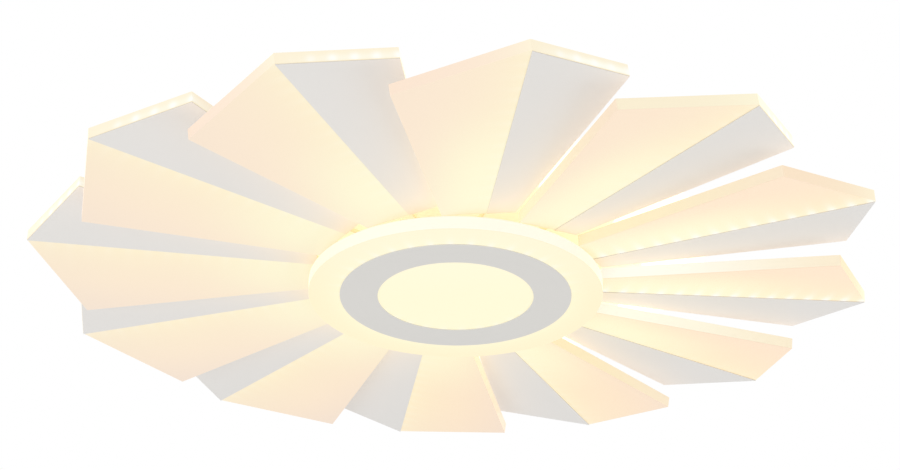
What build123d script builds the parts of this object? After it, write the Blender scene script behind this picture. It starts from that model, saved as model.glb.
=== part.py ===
from build123d import *
import os
from math import radians, sin, tan

# A ceiling light shaped like a pinwheel. Twelve flat light boxes, the blades, fan out round a lower disc.
# Sizes are in millimetres. The ceiling is the plane z = 0 and the light hangs below it.
# A blade is drawn in its own frame: u runs outward, v towards its high side, w up from its lower face.

# The fan of blades
blade_count = 12
first_blade_angle = -81.65
blade_tilt = 8.8
blade_rise = 1.7
blade_gap = 0.6

# The outline of one blade, from its root edge out to its tip
tip_radius = 370.0
root_radius = 123.0
low_corner_setback = 54.0
low_corner_reach = 99.0
high_corner_setback = 42.0
high_corner_reach = 84.0
low_root_reach = 31.0
high_root_reach = 32.0
border_root_reach = 7.0

# The acrylic shell of a blade
shell_height = 10.0
shell_face = 2.0
shell_wall = 2.0
ledge_width = 1.0

# The painted cover plate
cover_sheet = 0.8
cover_inset = 0.4

# The steel tray that closes the shell and carries the light strip
tray_sheet = 0.8
tray_play = 0.15
border_setback = 2.5
strip_space = 8.0
root_setback = 9.0
recess_cut = 3.0

# The light strip on the walls of the recess
strip_sheet = 0.5
strip_width = 5.0

# Lugs: strips of sheet that pass through a slot and are bent over behind it
lug_sheet = 1.0
lug_width = 6.0
lug_fold = 5.0
lug_play = 0.2
lug_setback = 30.0

# The wedge bracket between a blade's tray and the chassis plate
bracket_sheet = 1.5
bracket_length = 44.0
bracket_setback = 18.0
bracket_low = -36.0
bracket_high = -2.0
bracket_flange = 13.0

# Chassis plate
chassis_radius = 218.0
chassis_sheet = 1.0
chassis_rim = 8.0

# Ceiling pan
pan_radius = 135.0
pan_depth = 42.0
pan_sheet = 1.0
pan_flange = 5.0

# Ceiling bracket, with a flat middle against the ceiling and two lowered ends for the bolts
bar_width = 32.0
bar_sheet = 1.5
bar_flat_half = 70.0
bar_slope = 8.0
bar_drop = 6.0
bar_end = 22.0
bar_corner = 6.0
slot_spacing = 100.0
slot_length = 20.0
slot_radius = 2.5
cable_hole_radius = 8.0

# Ceiling bolts and their cap nuts
bolt_radius = 2.5
bolt_play = 0.25
bolt_spacing = 180.0
bolt_spare = 6.0
bolt_head_across_flats = 8.0
bolt_head_height = 3.0
cap_nut_height = 9.0
cap_nut_cut = 1.5
cap_nut_end = 2.0

# Driver and terminal block, on the floor of the pan
driver_length = 130.0
driver_width = 50.0
driver_height = 28.0
driver_corner = 5.0
driver_centre_y = 66.0
ear_length = 12.0
ear_height = 3.0
terminal_length = 38.0
terminal_width = 20.0
terminal_height = 17.0
terminal_centre_x = -58.0
terminal_poles = 3
terminal_pole_pitch = 11.0
terminal_mouth_width = 3.0
terminal_mouth_height = 4.2
terminal_groove = 1.5

# Opening for the leads in the middle of pan and chassis plate, and the frame that guards its edges
opening_length = 24.0
opening_width = 16.0
frame_wall = 2.0
frame_lip = 2.5

# Junction hub under the chassis plate, with one flat side for each blade
hub_reach = 50.0
hub_height = 9.0
pocket_width = 7.0
pocket_height = 4.0
pocket_depth = 9.0
pocket_turn = -4.0
hub_top_pocket = 2.0
hook_sheet = 1.5
hook_spacing = 60.0

# Flat leads
lead_width = 3.2
lead_sheet = 1.6
lead_grip = 15.0
plug_play = 0.2
bend_share = 0.45

# The round disc
disc_radius = 127.7
disc_height = 12.0
disc_gap = 0.4
ring_outer_radius = 100.5
ring_inner_radius = 67.7
ring_lug_count = 4

# The spacer inside the disc, with a flat side for each length of light strip
spacer_sides = 12
spacer_outer_reach = 95.5
spacer_inner_reach = 70.5

# Posts and magnets that hold the disc up
post_count = 4
post_across_flats = 9.0
magnet_length = 20.0
magnet_width = 12.0
magnet_height = 5.0

# The disc's plug, which enters the middle of the junction hub
plug_width = 12.0
plug_depth = 9.0
tongue_width = 8.0
tongue_depth = 5.0
tongue_reach = 6.0

standing = (Align.CENTER, Align.CENTER, Align.MIN)
hanging = (Align.CENTER, Align.CENTER, Align.MAX)


def high_edge_reach(u):
    """Distance from a blade's axis to its high side at a distance u from the centre of the fan."""
    high_corner_u = tip_radius - high_corner_setback
    share = (u - root_radius) / (high_corner_u - root_radius)
    return high_root_reach + share * (high_corner_reach - high_root_reach)


def border_reach(u):
    """Distance from a blade's axis to the border between bare acrylic and cover plate."""
    return border_root_reach * (tip_radius - u) / (tip_radius - root_radius)


def rise_at(u, v, w):
    """Height of a blade's point above the centre of the fan."""
    return (blade_slopes * Pos(u, v, w)).position.Z


blade_slopes = Rot(0, -blade_rise, 0) * Rot(blade_tilt, 0, 0)
chassis_top = -pan_depth
chassis_underside = chassis_top - chassis_sheet
pan_floor = chassis_top + pan_sheet

# A blade's back comes nearest to the chassis plate on its high side, over the plate's rim.
nearest_rise = rise_at(chassis_radius, high_edge_reach(chassis_radius), shell_height)
fan_centre = chassis_underside - blade_gap - nearest_rise
disc_top = fan_centre + rise_at(root_radius, -low_root_reach, 0) - disc_gap
disc_bottom = disc_top - disc_height
recess_depth = shell_height - shell_face
blade_frame = Pos(0, 0, fan_centre) * blade_slopes
bracket_outer = chassis_radius - bracket_setback
bracket_inner = bracket_outer - bracket_length


def blade_turns():
    """One turn about the lamp's axis for each blade."""
    return [Rot(0, 0, first_blade_angle + 360 / blade_count * i) for i in range(blade_count)]


def flat(points):
    """A face with straight sides through the points."""
    return make_face(Polyline(*points, close=True))


def block(low, high):
    """A box between two opposite corners."""
    size = [b - a for a, b in zip(low, high)]
    return Pos(*low) * Box(*size, align=(Align.MIN, Align.MIN, Align.MIN))


def polygon_prism(sides, reach, height, turn=0.0):
    """A prism that stands on z = 0, with its flat sides at the given distance from its axis."""
    return extrude(RegularPolygon(reach, sides, major_radius=False, rotation=turn), height)


def tube(outer, inner, height):
    """A plain ring that stands on z = 0."""
    return Cylinder(outer, height, align=standing) - Cylinder(inner, height, align=standing)


def inset(outline, distances):
    """The outline after each of its sides moves inward by its own distance."""
    sides = []
    for start, end, distance in zip(outline, outline[1:] + outline[:1], distances):
        along = (Vector(*end) - Vector(*start)).normalized()
        inward = Vector(-along.Y, along.X)
        sides.append((Vector(*start) + inward * distance, along))
    corners = []
    for (p, along_p), (q, along_q) in zip(sides[-1:] + sides[:-1], sides):
        reach = (q - p).cross(along_q).Z / along_p.cross(along_q).Z
        corner = p + along_p * reach
        corners.append((corner.X, corner.Y))
    return corners


def cut_corners(outline, length):
    """The outline with each corner replaced by a short straight side."""
    points = []
    for before, at, after in zip(outline[-1:] + outline[:-1], outline, outline[1:] + outline[:1]):
        here = Vector(*at)
        for neighbour in (before, after):
            cut = here + (Vector(*neighbour) - here).normalized() * length
            points.append((cut.X, cut.Y))
    return points


tip = (tip_radius, 0.0)
low_corner = (tip_radius - low_corner_setback, -low_corner_reach)
high_corner = (tip_radius - high_corner_setback, high_corner_reach)
low_root = (root_radius, -low_root_reach)
high_root = (root_radius, high_root_reach)
border_root = (root_radius, border_root_reach)
blade_outline = [low_root, low_corner, tip, high_corner, high_root]
covered_outline = [border_root, tip, high_corner, high_root]
recess_corners = inset(covered_outline, [border_setback, strip_space, strip_space, root_setback])
recess_outline = cut_corners(recess_corners, recess_cut)


def lug(rise, sheet):
    """A strip that stands on z = 0 and is bent over, away from the origin, at the height given."""
    strip = block((0, -lug_width / 2, 0), (sheet, lug_width / 2, rise + sheet))
    return strip + block((0, -lug_width / 2, rise), (lug_fold, lug_width / 2, rise + sheet))


def slotted(body, places, sheet):
    """The body with a slot through it for the lug at each place."""
    reach = lug_width / 2 + lug_play
    cutter = block((-lug_play, -reach, -disc_height), (sheet + lug_play, reach, 2 * disc_height))
    for place in places:
        body -= place * cutter
    return body


def blade_lug_places():
    """Places of the cover plate's lugs: at the root end, near the tip and near the high corner."""
    border_end, tip_end, high_end, root_end = [Vector(*corner) for corner in recess_corners]
    inner = (border_end + root_end) / 2
    middle = (inner + (tip_end + high_end) / 2) / 2
    return [Pos(end + (middle - end).normalized() * lug_setback) for end in (inner, tip_end, high_end)]


lead_inner_u = root_radius + lead_grip
lead_line = border_reach(lead_inner_u) + border_setback - strip_sheet - lug_play - lead_sheet / 2
lead_level = shell_face + recess_depth / 2


def blade_shell():
    """Milky acrylic tray, open at the back, with a ledge inside its edge for the steel tray."""
    every_side = len(blade_outline)
    shell = extrude(flat(blade_outline), shell_height)
    cavity = flat(inset(blade_outline, [shell_wall] * every_side))
    shell -= Pos(0, 0, shell_face) * extrude(cavity, shell_height)
    rebate = flat(inset(blade_outline, [shell_wall - ledge_width] * every_side))
    shell -= Pos(0, 0, shell_height - tray_sheet) * extrude(rebate, shell_height)
    notch_half = lead_sheet / 2 + plug_play
    shell -= block(
        (root_radius - shell_wall, lead_line - notch_half, lead_level - lead_width / 2 - plug_play),
        (root_radius + 2 * shell_wall, lead_line + notch_half, shell_height),
    )
    return slotted(shell, blade_lug_places(), lug_sheet)


def blade_cover():
    """Painted steel plate on the shell's face. Its lugs clamp shell and tray together."""
    outline = inset(covered_outline, [0, cover_inset, cover_inset, cover_inset])
    cover = Pos(0, 0, -cover_sheet) * extrude(flat(outline), cover_sheet)
    for place in blade_lug_places():
        cover += place * lug(shell_face + tray_sheet, lug_sheet)
    return cover


def blade_tray():
    """Pressed steel back of a blade: a brim that closes the shell, and a recess down to the shell's face."""
    brim_setback = shell_wall - ledge_width + tray_play
    brim = flat(inset(blade_outline, [brim_setback] * len(blade_outline)))
    tray = Pos(0, 0, shell_height - tray_sheet) * extrude(brim, tray_sheet)
    tray += Pos(0, 0, shell_face) * extrude(flat(recess_outline), recess_depth - tray_sheet)
    hollow = flat(inset(recess_outline, [tray_sheet] * len(recess_outline)))
    tray -= Pos(0, 0, shell_face + tray_sheet) * extrude(hollow, recess_depth)
    return slotted(tray, blade_lug_places(), lug_sheet)


def blade_strip():
    """Light strip, wound round three walls of the recess and open at the root."""
    band = flat(inset(recess_outline, [-strip_sheet] * len(recess_outline))) - flat(recess_outline)
    strip = Pos(0, 0, shell_face + (recess_depth - strip_width) / 2) * extrude(band, strip_width)
    root_end = root_radius + root_setback + recess_cut
    return strip - block((0, -low_corner_reach, 0), (root_end, high_corner_reach, shell_height))


def bracket_lug_places():
    """Places of a wedge bracket's two lugs, one at the end of each flange."""
    middle_y = (bracket_low + bracket_high) / 2
    low = chassis_underside - bracket_sheet
    inner = Pos(bracket_inner - bracket_flange, middle_y, low)
    outer = Pos(bracket_outer + bracket_flange, middle_y, low) * Rot(0, 0, 180)
    return [inner, outer]


def wedge_bracket():
    """Folded channel whose foot lies on the tilted tray and whose flanges lie level on the chassis plate."""
    sheet = bracket_sheet
    above = shell_height + pan_depth
    channel = block((bracket_inner, bracket_low, shell_height), (bracket_outer, bracket_high, above))
    channel -= block(
        (bracket_inner + sheet, bracket_low - sheet, shell_height + sheet),
        (bracket_outer - sheet, bracket_high + sheet, above),
    )
    bracket = blade_frame * channel
    reach = bracket_outer + 2 * bracket_flange
    bracket -= block((0, -reach, chassis_underside), (reach, reach, 0))
    lean = rise_at(0, 0, shell_height) * sin(radians(blade_tilt))
    low = chassis_underside - sheet
    flange_low = bracket_low - lean
    flange_high = bracket_high - 2 * lean
    bracket += block(
        (bracket_inner - bracket_flange, flange_low, low),
        (bracket_inner + sheet / 2, flange_high, chassis_underside),
    )
    bracket += block(
        (bracket_outer - sheet, flange_low, low),
        (bracket_outer + bracket_flange, flange_high, chassis_underside),
    )
    for place in bracket_lug_places():
        bracket += place * lug(sheet + chassis_sheet, sheet)
    return bracket


def bend_radii(points):
    """The largest arc that the two runs at each bend have room for."""
    radii = []
    for before, at, after in zip(points, points[1:], points[2:]):
        run_in = at - before
        run_out = after - at
        half_turn = radians(run_in.get_angle(run_out)) / 2
        radii.append(bend_share * min(run_in.length, run_out.length) / tan(half_turn))
    return radii


def flat_lead(name, points, up):
    """A flat lead along straight runs joined by arcs. Its edge starts out turned to the side called up."""
    radii = bend_radii(points)
    print(name, "bends", [round(radius, 1) for radius in radii])
    path = FilletPolyline(*points, radius=radii)
    section = Plane(path @ 0, x_dir=up, z_dir=path % 0) * Rectangle(lead_width, lead_sheet)
    return sweep(section, path)


def blade_lead():
    """A blade's lead, from its light strip to its plug in the junction hub."""
    inside = (blade_frame * Pos(lead_inner_u, lead_line, lead_level)).position
    outside = (blade_frame * Pos(root_radius - lead_grip, lead_line, lead_level)).position
    pocket_level = chassis_underside - hub_height / 2
    pocket = Rot(0, 0, pocket_turn)
    entry = (pocket * Pos(hub_reach + lead_grip, 0, pocket_level)).position
    end = (pocket * Pos(hub_reach - pocket_depth / 2, 0, pocket_level)).position
    blade_up = (blade_slopes * Pos(0, 0, 1)).position
    lead = flat_lead("blade lead", [inside, outside, entry, end], blade_up)
    half_width = pocket_width / 2 - plug_play
    half_height = pocket_height / 2 - plug_play
    plug = block(
        (hub_reach - pocket_depth + plug_play, -half_width, pocket_level - half_height),
        (hub_reach + plug_play, half_width, pocket_level + half_height),
    )
    return lead + pocket * plug


def bolt_points():
    """Where the ceiling bolts stand."""
    return [(-bolt_spacing / 2, 0), (bolt_spacing / 2, 0)]


def drilled(body, radius):
    """The body with a hole for each ceiling bolt."""
    for x, y in bolt_points():
        body -= Pos(x, y, chassis_underside) * Cylinder(radius, 2 * pan_depth + 4 * chassis_sheet)
    return body


def hook_places():
    """Places of the junction hub's two hooks."""
    right = Pos(hook_spacing / 2, 0, chassis_underside)
    return [right, Rot(0, 0, 180) * right]


def chassis_plate():
    """Round plate with an upturned rim, open for bolts, leads, hooks and lugs."""
    plate = Cylinder(chassis_radius, chassis_sheet + chassis_rim, align=standing)
    plate -= Pos(0, 0, chassis_sheet) * Cylinder(chassis_radius - chassis_sheet, chassis_rim, align=standing)
    plate = Pos(0, 0, chassis_underside) * plate
    for turn in blade_turns():
        plate = slotted(plate, [turn * place for place in bracket_lug_places()], bracket_sheet)
    plate = slotted(plate, hook_places(), hook_sheet)
    foot_length = opening_length + 2 * frame_wall
    foot_width = opening_width + 2 * frame_wall
    plate -= Pos(0, 0, chassis_underside) * Box(foot_length, foot_width, 2 * chassis_rim)
    return drilled(plate, bolt_radius + bolt_play)


def ear_lug_places():
    """Places of the pan's lugs, which hold driver and terminal block by their ears."""
    off = ear_length + lug_play + lug_sheet
    driver_end = driver_length / 2 + off
    terminal_end = terminal_length / 2 + off
    return [
        Pos(-driver_end, driver_centre_y, pan_floor),
        Pos(driver_end, driver_centre_y, pan_floor) * Rot(0, 0, 180),
        Pos(terminal_centre_x, -terminal_end, pan_floor) * Rot(0, 0, 90),
        Pos(terminal_centre_x, terminal_end, pan_floor) * Rot(0, 0, -90),
    ]


def ceiling_pan():
    """Pressed dish, open to the ceiling, whose flange rests on the ceiling."""
    pan = Cylinder(pan_radius, pan_depth, align=hanging)
    pan += Cylinder(pan_radius + pan_flange, pan_sheet, align=hanging)
    pan -= Cylinder(pan_radius - pan_sheet, pan_depth - pan_sheet, align=hanging)
    pan = slotted(pan, hook_places(), hook_sheet)
    pan -= Pos(0, 0, pan_floor) * Box(opening_length, opening_width, 4 * pan_sheet)
    for place in ear_lug_places():
        pan += place * lug(ear_height, lug_sheet)
    return drilled(pan, bolt_radius + bolt_play)


def ceiling_bracket():
    """Steel bar with a flat middle that screws to the ceiling, and lowered ends that hold the bolts."""
    slope_end = bar_flat_half + bar_slope
    end = slope_end + bar_end
    right = [(0, 0), (bar_flat_half, 0), (slope_end, -bar_drop), (end, -bar_drop)]
    line = [(-x, z) for x, z in reversed(right[1:])] + right
    under = [(x, z - bar_sheet) for x, z in reversed(line)]
    profile = Plane.XZ * flat(line + under)
    bar = extrude(profile, bar_width / 2, both=True)
    bar = chamfer(bar.edges().filter_by(Axis.Z), bar_corner)
    for side in (-1, 1):
        slot = Pos(side * slot_spacing / 2, 0) * SlotOverall(slot_length, 2 * slot_radius)
        bar -= extrude(slot, 2 * bar_sheet, both=True)
    bar -= Cylinder(cable_hole_radius, 4 * bar_sheet)
    return drilled(bar, bolt_radius)


def ceiling_bolts():
    """Bolts that hang from the bracket's lowered ends, through pan and chassis plate."""
    length = bolt_spare - bar_drop - chassis_underside
    bolt = polygon_prism(6, bolt_head_across_flats / 2, bolt_head_height)
    bolt += Cylinder(bolt_radius, length, align=hanging)
    return [Pos(x, y, -bar_drop) * bolt for x, y in bolt_points()]


def cap_nuts():
    """Closed nuts that draw the lamp up to the ceiling from under the chassis plate."""
    nut = polygon_prism(6, bolt_head_across_flats / 2, -cap_nut_height)
    nut = chamfer(nut.faces().sort_by(Axis.Z)[0].edges(), cap_nut_cut)
    nut -= Cylinder(bolt_radius, cap_nut_height - cap_nut_end, align=hanging)
    return [Pos(x, y, chassis_underside) * nut for x, y in bolt_points()]


def led_driver():
    """Sealed driver with an ear at each end."""
    body = Box(driver_length, driver_width, driver_height, align=standing)
    body = chamfer(body.edges().filter_by(Axis.Z), driver_corner)
    ears = Box(driver_length + 2 * ear_length, 2 * ear_length, ear_height, align=standing)
    return Pos(0, driver_centre_y, pan_floor) * (body + ears)


def terminal_block():
    """Terminal block with a mouth through it for each wire, a groove between poles and an ear at each end."""
    body = Box(terminal_width, terminal_length, terminal_height, align=standing)
    first = -terminal_pole_pitch * (terminal_poles - 1) / 2
    mouth = Box(terminal_width, terminal_mouth_width, terminal_mouth_height)
    groove = Box(terminal_width, terminal_groove, terminal_height / 3)
    for pole in range(terminal_poles):
        body -= Pos(0, first + pole * terminal_pole_pitch, terminal_height / 2) * mouth
    for gap in range(terminal_poles - 1):
        body -= Pos(0, first + (gap + 0.5) * terminal_pole_pitch, terminal_height) * groove
    ears = Box(ear_length, terminal_length + 2 * ear_length, ear_height, align=standing)
    return Pos(terminal_centre_x, 0, pan_floor) * (body + ears)


def lead_way(depth):
    """The way for the leads, inside the frame."""
    length = opening_length - 2 * frame_wall
    width = opening_width - 2 * frame_wall
    return Pos(0, 0, chassis_underside) * Box(length, width, 2 * depth)


def lead_frame():
    """Rubber frame in the opening for the leads, with a foot under the pan and a lip above its floor."""
    wide = (opening_length + 2 * frame_wall, opening_width + 2 * frame_wall)
    foot = Pos(0, 0, chassis_underside) * Box(*wide, chassis_sheet, align=standing)
    waist = Pos(0, 0, chassis_top) * Box(opening_length, opening_width, pan_sheet, align=standing)
    lip = Pos(0, 0, pan_floor) * Box(*wide, frame_lip, align=standing)
    return foot + waist + lip - lead_way(4 * frame_lip)


def pan_leads():
    """The supply lead from terminal block to driver, and the output lead from driver to junction hub."""
    terminal_level = pan_floor + terminal_height / 2
    driver_level = pan_floor + driver_height / 2
    terminal_end = terminal_centre_x - terminal_width / 2
    driver_end = driver_length / 2
    beside_driver = driver_end + ear_length
    supply = [
        Vector(terminal_end + terminal_width / 4, 0, terminal_level),
        Vector(terminal_end - 2 * ear_length, 0, terminal_level),
        Vector(-beside_driver - ear_length, driver_centre_y, driver_level),
        Vector(-driver_end, driver_centre_y, driver_level),
    ]
    output = [
        Vector(driver_end, driver_centre_y, driver_level),
        Vector(beside_driver + ear_length, driver_centre_y, driver_level),
        Vector(beside_driver / 2, 0, driver_level - 4),
        Vector(0, 0, driver_level - 5),
        Vector(0, 0, chassis_underside - hub_top_pocket),
    ]
    up = Vector(0, 0, 1)
    return [flat_lead("supply lead", supply, up), flat_lead("output lead", output, up)]


def junction_hub():
    """Moulded block with a side socket for each blade's plug and a middle socket for the disc's plug."""
    side_turn = first_blade_angle + pocket_turn + 180 / blade_count
    prism = polygon_prism(blade_count, hub_reach, hub_height, side_turn)
    hub = Pos(0, 0, chassis_underside - hub_height) * prism
    pocket_level = chassis_underside - hub_height / 2
    pocket = Pos(hub_reach, 0, pocket_level) * Box(2 * pocket_depth, pocket_width, pocket_height)
    for turn in blade_turns():
        hub -= turn * Rot(0, 0, pocket_turn) * pocket
    socket = Box(
        tongue_width + 2 * plug_play,
        tongue_depth + 2 * plug_play,
        tongue_reach + plug_play,
        align=standing,
    )
    hub -= Pos(0, 0, chassis_underside - hub_height) * socket
    hub -= lead_way(hub_top_pocket)
    for place in hook_places():
        hub += place * lug(chassis_sheet + pan_sheet, hook_sheet)
    return hub


def ring_places(count, radius, turn):
    """Evenly spaced places on a circle round the lamp's axis, each turned outward."""
    return [Rot(0, 0, first_blade_angle + turn + 360 / count * i) * Pos(radius, 0, 0) for i in range(count)]


ring_middle = (ring_outer_radius + ring_inner_radius) / 2
ring_lug_places = ring_places(ring_lug_count, ring_middle, 0)
post_places = ring_places(post_count, ring_middle, 360 / post_count / 2)


def disc_shell():
    """Round tray of milky acrylic, open at the back."""
    shell = Cylinder(disc_radius, disc_height, align=standing)
    shell -= Pos(0, 0, shell_face) * Cylinder(disc_radius - shell_wall, disc_height, align=standing)
    return slotted(shell, ring_lug_places, lug_sheet)


def disc_ring():
    """Painted ring plate on the disc's face. Its lugs clamp shell, spacer and base together."""
    ring = Pos(0, 0, -cover_sheet) * tube(ring_outer_radius, ring_inner_radius, cover_sheet)
    for place in ring_lug_places:
        ring += place * lug(disc_height, lug_sheet)
    return ring


def spacer_turn():
    """The turn that puts a flat side of the spacer below each blade's axis."""
    return first_blade_angle + 180 / spacer_sides


def spacer_band(outer_reach, inner_reach, height):
    """A ring with flat sides inside and outside."""
    outer = polygon_prism(spacer_sides, outer_reach, height, spacer_turn())
    return outer - polygon_prism(spacer_sides, inner_reach, height, spacer_turn())


def disc_spacer():
    """Ring between the shell's face and the base, which carries the disc's light strips."""
    height = disc_height - shell_face - tray_sheet
    spacer = Pos(0, 0, shell_face) * spacer_band(spacer_outer_reach, spacer_inner_reach, height)
    return slotted(spacer, ring_lug_places, lug_sheet)


def disc_strips():
    """Light strips round the spacer, outside and inside."""
    low = shell_face + (disc_height - shell_face - tray_sheet - strip_width) / 2
    outward = spacer_band(spacer_outer_reach + strip_sheet, spacer_outer_reach, strip_width)
    inward = spacer_band(spacer_inner_reach, spacer_inner_reach - strip_sheet, strip_width)
    return [Pos(0, 0, low) * outward, Pos(0, 0, low) * inward]


def disc_base():
    """Steel plate that lies on the spacer and closes the disc's back."""
    base_radius = disc_radius - shell_wall - tray_play
    base = Pos(0, 0, disc_height - tray_sheet) * Cylinder(base_radius, tray_sheet, align=standing)
    return slotted(base, ring_lug_places, lug_sheet)


def disc_plug():
    """Pillar in the middle of the disc's base, whose tongue enters the junction hub."""
    pillar_height = chassis_underside - hub_height - plug_play - disc_top
    pillar = Box(plug_width, plug_depth, pillar_height, align=standing)
    pillar += Pos(0, 0, pillar_height) * Box(tongue_width, tongue_depth, tongue_reach, align=standing)
    return Pos(0, 0, disc_height) * pillar


def disc_posts():
    """Hexagonal posts under the chassis plate."""
    length = chassis_underside - disc_top - magnet_height
    post = polygon_prism(6, post_across_flats / 2, -length)
    return [Pos(0, 0, chassis_underside) * place * post for place in post_places]


def disc_magnets():
    """Block magnets on the posts, which hold the disc's steel base."""
    magnet = Box(magnet_width, magnet_length, magnet_height, align=standing)
    return [Pos(0, 0, disc_top) * place * magnet for place in post_places]


def write(name, shape):
    """Writes one node, which is a single piece or a group of alike pieces."""
    if isinstance(shape, list):
        pieces = []
        for piece in shape:
            pieces += piece.solids()
        shape = Compound(children=pieces)
    export_step(shape, f"parts/{name}.step")


def write_blades():
    """Shell, cover plate and tray of each blade, and the groups of pieces that repeat with the blades."""
    turns = blade_turns()
    for name, part in (("shell", blade_shell()), ("cover", blade_cover()), ("tray", blade_tray())):
        for number, turn in enumerate(turns, start=1):
            write(f"blade_{number:02}_{name}", turn * blade_frame * part)
    groups = {
        "blade_light_strips": blade_frame * blade_strip(),
        "blade_brackets": wedge_bracket(),
        "blade_leads": blade_lead(),
    }
    for name, piece in groups.items():
        write(name, [turn * piece for turn in turns])


def write_disc():
    """The disc's pieces, which are drawn with the shell's lower face on z = 0."""
    in_place = Pos(0, 0, disc_bottom)
    write("disc_shell", in_place * disc_shell())
    write("disc_ring", in_place * disc_ring())
    write("disc_spacer", in_place * disc_spacer())
    write("disc_light_strips", [in_place * strip for strip in disc_strips()])
    write("disc_base", in_place * disc_base())
    write("disc_plug", in_place * disc_plug())


def main():
    os.makedirs("parts", exist_ok=True)
    write_blades()
    write_disc()
    write("chassis_plate", chassis_plate())
    write("ceiling_pan", ceiling_pan())
    write("ceiling_bracket", ceiling_bracket())
    write("ceiling_bolts", ceiling_bolts())
    write("cap_nuts", cap_nuts())
    write("led_driver", led_driver())
    write("terminal_block", terminal_block())
    write("lead_frame", lead_frame())
    write("pan_leads", pan_leads())
    write("junction_hub", junction_hub())
    write("disc_posts", disc_posts())
    write("disc_magnets", disc_magnets())


main()
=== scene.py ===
# %% [markdown]
# # A pinwheel ceiling light
# The lamp hangs flat under a ceiling. Twelve light boxes of milky acrylic, the blades, fan out
# round a lower disc, and each carries a painted plate over half of its face.
# The solid parts arrive as a fixed frame, already in place and in metres. This lesson gives them
# their finishes, adds the small hardware that a solid model leaves out, and sets up the studio.

from math import cos, pi, radians, sin, sqrt, tau

import bmesh
import bpy
from mathutils import Matrix, Vector


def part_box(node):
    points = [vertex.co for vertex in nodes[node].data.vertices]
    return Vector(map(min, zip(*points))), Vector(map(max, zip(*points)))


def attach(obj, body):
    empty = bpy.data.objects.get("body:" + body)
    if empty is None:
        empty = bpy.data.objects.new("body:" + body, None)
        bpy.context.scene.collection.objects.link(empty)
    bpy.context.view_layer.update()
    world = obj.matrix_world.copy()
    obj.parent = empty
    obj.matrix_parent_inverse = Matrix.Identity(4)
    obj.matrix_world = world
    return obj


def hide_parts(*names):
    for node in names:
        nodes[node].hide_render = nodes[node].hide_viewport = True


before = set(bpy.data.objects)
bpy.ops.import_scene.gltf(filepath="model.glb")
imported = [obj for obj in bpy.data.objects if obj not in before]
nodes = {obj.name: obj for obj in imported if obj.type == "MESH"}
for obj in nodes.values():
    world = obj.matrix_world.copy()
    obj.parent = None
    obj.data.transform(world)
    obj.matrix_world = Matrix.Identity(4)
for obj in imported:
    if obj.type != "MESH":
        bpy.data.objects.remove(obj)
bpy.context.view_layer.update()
blade_count = sum(name.startswith("blade_") and name.endswith("_shell") for name in nodes)
blade_numbers = range(1, blade_count + 1)
print("nodes", len(nodes), "blades", blade_count)

# %% [markdown]
# ## The camera
# The photograph looks up at the lamp from the front, at about 27 degrees, with a long lens.
# A camera is placed by its position and by three directions: right, up and backward.
# Writing the directions out is clearer here than turning the camera by angles, because the
# picture also leans by half a degree.

# %% Camera
millimetre = 0.001
camera_place = Vector((-0.0053, -1.8121, -0.9556))
camera_rise = radians(27.26)
camera_lean = radians(0.51)
lens_length = 92.7
film_width = 36
farthest_seen = 100

forward = Vector((0, cos(camera_rise), sin(camera_rise)))
level_right = Vector((1, 0, 0))
level_up = level_right.cross(forward)
right = cos(camera_lean) * level_right + sin(camera_lean) * level_up
up = cos(camera_lean) * level_up - sin(camera_lean) * level_right
camera_turn = Matrix((right, up, -forward)).transposed().to_4x4()

camera_data = bpy.data.cameras.new("camera")
camera_data.lens = lens_length
camera_data.sensor_width = film_width
camera_data.clip_end = farthest_seen
camera = bpy.data.objects.new("camera", camera_data)
camera.matrix_world = Matrix.Translation(camera_place) @ camera_turn
bpy.context.scene.collection.objects.link(camera)
bpy.context.scene.camera = camera
print("camera at", [round(x, 3) for x in camera_place])

# %% [markdown]
# ## Values and finishes
# A finish is a tree of shader nodes. Its patterns are sums over a surface's coordinates, and
# sums read best as sums. So one small class wraps a node's socket, and each of Python's signs
# adds the node that does that sum. A second class grows a tree: it makes any node and mixes
# colours. A third is the tree of one finish, and sets the shader's own sockets.
# Lengths in a finish are in metres, as everywhere in the frame.


# %% A value that nodes hand on
class Value:
    """A number, a vector or a colour on its way through a tree of nodes."""

    def __init__(self, tree, socket):
        self.tree = tree
        self.socket = socket

    def __add__(self, other):
        return self.tree.math("ADD", self, other)

    def __sub__(self, other):
        return self.tree.math("SUBTRACT", self, other)

    def __rsub__(self, other):
        return self.tree.math("SUBTRACT", other, self)

    def __mul__(self, other):
        return self.tree.math("MULTIPLY", self, other)

    def __truediv__(self, other):
        return self.tree.math("DIVIDE", self, other)

    def __rtruediv__(self, other):
        return self.tree.math("DIVIDE", other, self)

    def __pow__(self, other):
        return self.tree.math("POWER", self, other)

    def __rpow__(self, other):
        return self.tree.math("POWER", other, self)

    __radd__ = __add__
    __rmul__ = __mul__

    def apply(self, operation, *others):
        """What any other sum gives, such as a square root."""
        return self.tree.math(operation, self, *others)

    def along(self, direction):
        """How far a vector reaches along a direction."""
        settings = {"operation": "DOT_PRODUCT"}
        return self.tree.node("ShaderNodeVectorMath", settings, [self, direction], "Value")

    def falloff(self, length):
        """One at zero, and less by a factor e for each length."""
        return (self / -length).apply("EXPONENT")

    def between(self, low, high):
        """Zero below low, one above high, and a smooth step between."""
        settings = {"interpolation_type": "SMOOTHSTEP"}
        sockets = {"Value": self, "From Min": low, "From Max": high}
        return self.tree.node("ShaderNodeMapRange", settings, sockets)


print("a value knows", [name for name in vars(Value) if not name.startswith("_")])


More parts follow.
